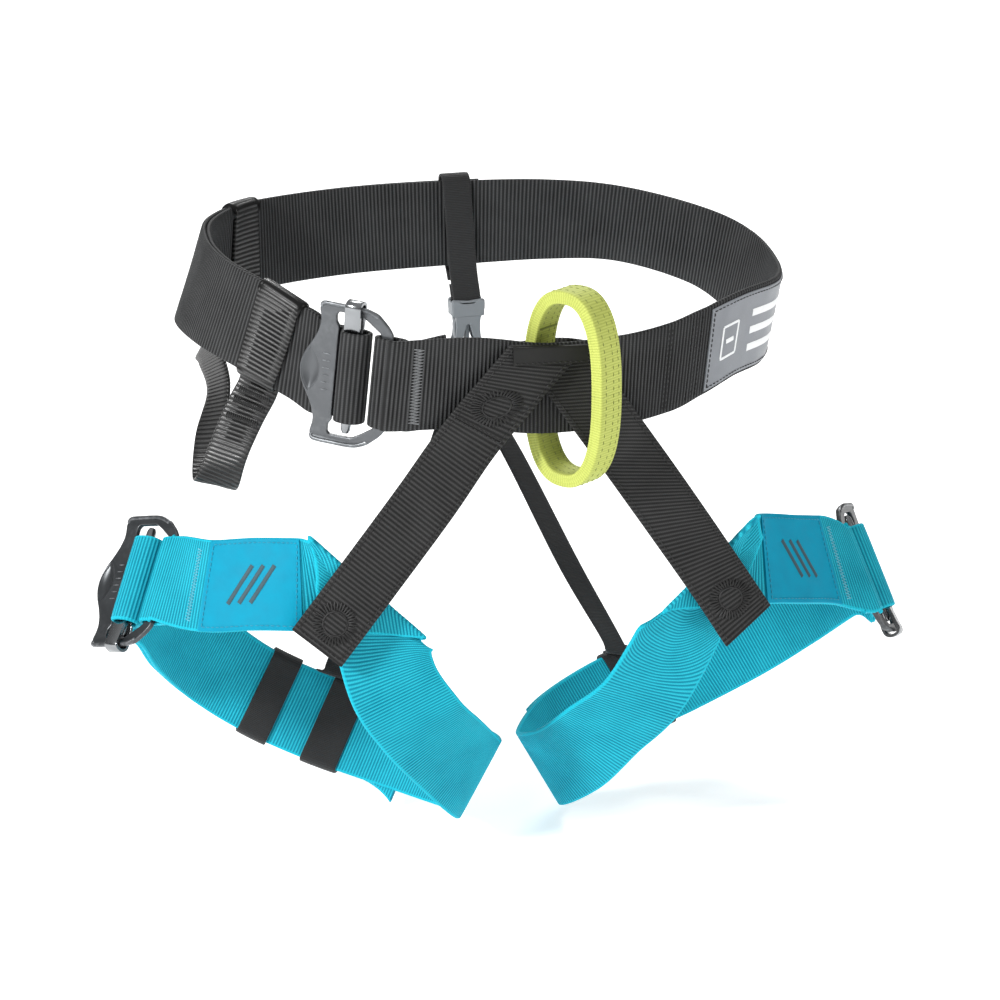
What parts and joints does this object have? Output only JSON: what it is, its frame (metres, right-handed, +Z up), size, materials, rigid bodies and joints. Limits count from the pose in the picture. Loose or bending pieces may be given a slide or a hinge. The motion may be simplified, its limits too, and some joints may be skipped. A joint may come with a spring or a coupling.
{
  "type": "climbing harness",
  "caption": "Sit harness with a waist belt, two leg loops, webbing risers, a stitched belay loop, slide-block buckles, a gear loop and an elastic rear riser with side-release buckle.",
  "frame": {"origin": "centre of the waist belt's ring, halfway between its front, back and sides", "axes": "+Z up on the wearer, -Y to the wearer's front where the belay loop is, +X to the wearer's left"},
  "size_m": [0.4169, 0.2597, 0.2988],
  "materials": {
    "belt_webbing": "ribbed polyester webbing, matt",
    "leg_webbing": "ribbed polyester webbing, slightly shiny",
    "leg_label": "smooth woven label, satin",
    "waist_label": "smooth grey label, satin",
    "frame_steel": "dark grey coated steel, satin",
    "chromed_bar": "polished",
    "buckle_plastic": "grey acetal, satin",
    "belay_webbing": "dense lime webbing, matt",
    "gear_webbing": "ribbed webbing, shiny",
    "elastic": "fine elastic, matt"
  },
  "bodies": {
    "harness": {"waist_webbing": "belt_webbing", "waist_tail": "belt_webbing", "waist_label": "waist_label", "waist_frame": "frame_steel", "rear_tab": "elastic", "release_socket": "buckle_plastic", "elastic_riser_left": "elastic", "elastic_riser_right": "elastic", "tie_in_hem": "belt_webbing", "tie_in_flap": "belt_webbing", "gear_wrap_front": "gear_webbing", "gear_wrap_rear": "gear_webbing", "riser_left": "belt_webbing", "riser_right": "belt_webbing", "leg_webbing_left": "leg_webbing", "leg_webbing_right": "leg_webbing", "leg_tail_left": "leg_webbing", "leg_tail_right": "leg_webbing", "leg_frame_left": "frame_steel", "leg_frame_right": "frame_steel", "leg_label_left": "leg_label", "leg_label_right": "leg_label", "riser_sleeve_left": "elastic", "riser_sleeve_right": "elastic"},
    "waist_bar": {"waist_slide_bar": "chromed_bar", "waist_bar_wrap": "belt_webbing"},
    "leg_bar_left": {"leg_slide_bar_left": "chromed_bar", "leg_bar_wrap_left": "leg_webbing"},
    "leg_bar_right": {"leg_slide_bar_right": "chromed_bar", "leg_bar_wrap_right": "leg_webbing"},
    "plug": {"release_plug": "buckle_plastic"},
    "plug_arm_left": {"release_arm_left": "buckle_plastic"},
    "plug_arm_right": {"release_arm_right": "buckle_plastic"},
    "belay": {"belay_loop": "belay_webbing"},
    "gear": {"gear_loop": "gear_webbing"},
    "keeper": {"keeper_right": "elastic"}
  },
  "joints": [
    {"name": "waist_bar_slide", "type": "slide", "parent": "harness", "child": "waist_bar", "axis": [0.8008, -0.5906, -0.1001], "range_m": [0, 0.0016]},
    {"name": "leg_bar_left_slide", "type": "slide", "parent": "harness", "child": "leg_bar_left", "axis": [-0.5446, -0.7967, 0.2622], "range_m": [0, 0.0016]},
    {"name": "leg_bar_right_slide", "type": "slide", "parent": "harness", "child": "leg_bar_right", "axis": [0.5513, -0.8018, 0.2305], "range_m": [0, 0.0016]},
    {"name": "belay_loop_swing", "type": "hinge", "parent": "harness", "child": "belay", "pos_m": [0.008, -0.112, -0.013], "axis": [0, 0, 1], "range_deg": [-20, 2]},
    {"name": "gear_loop_swing", "type": "hinge", "parent": "harness", "child": "gear", "pos_m": [-0.1245, -0.0645, -0.017], "axis": [0.1722, 0.9843, 0.039], "range_deg": [-6, 3]},
    {"name": "plug_release", "type": "slide", "parent": "harness", "child": "plug", "axis": [0, 0, -1], "range_m": [0, 0.028], "deforming": ["elastic_riser_left", "elastic_riser_right"]},
    {"name": "arm_left_pinch", "type": "hinge", "parent": "plug", "child": "plug_arm_left", "pos_m": [0.028, 0.106, -0.0534], "axis": [0, -1, 0], "range_deg": [0, 4.5], "stiffness_Nm_per_rad": 0.2},
    {"name": "arm_right_pinch", "type": "hinge", "parent": "plug", "child": "plug_arm_right", "pos_m": [0.017, 0.106, -0.0534], "axis": [0, 1, 0], "range_deg": [0, 4.5], "stiffness_Nm_per_rad": 0.2},
    {"name": "keeper_slide", "type": "slide", "parent": "harness", "child": "keeper", "axis": [-0.8423, 0.3911, 0.371], "range_m": [-0.002, 0.002]}
  ],
  "couplings": [
    {"joint": "arm_right_pinch", "follows": "arm_left_pinch", "ratio": 1}
  ]
}
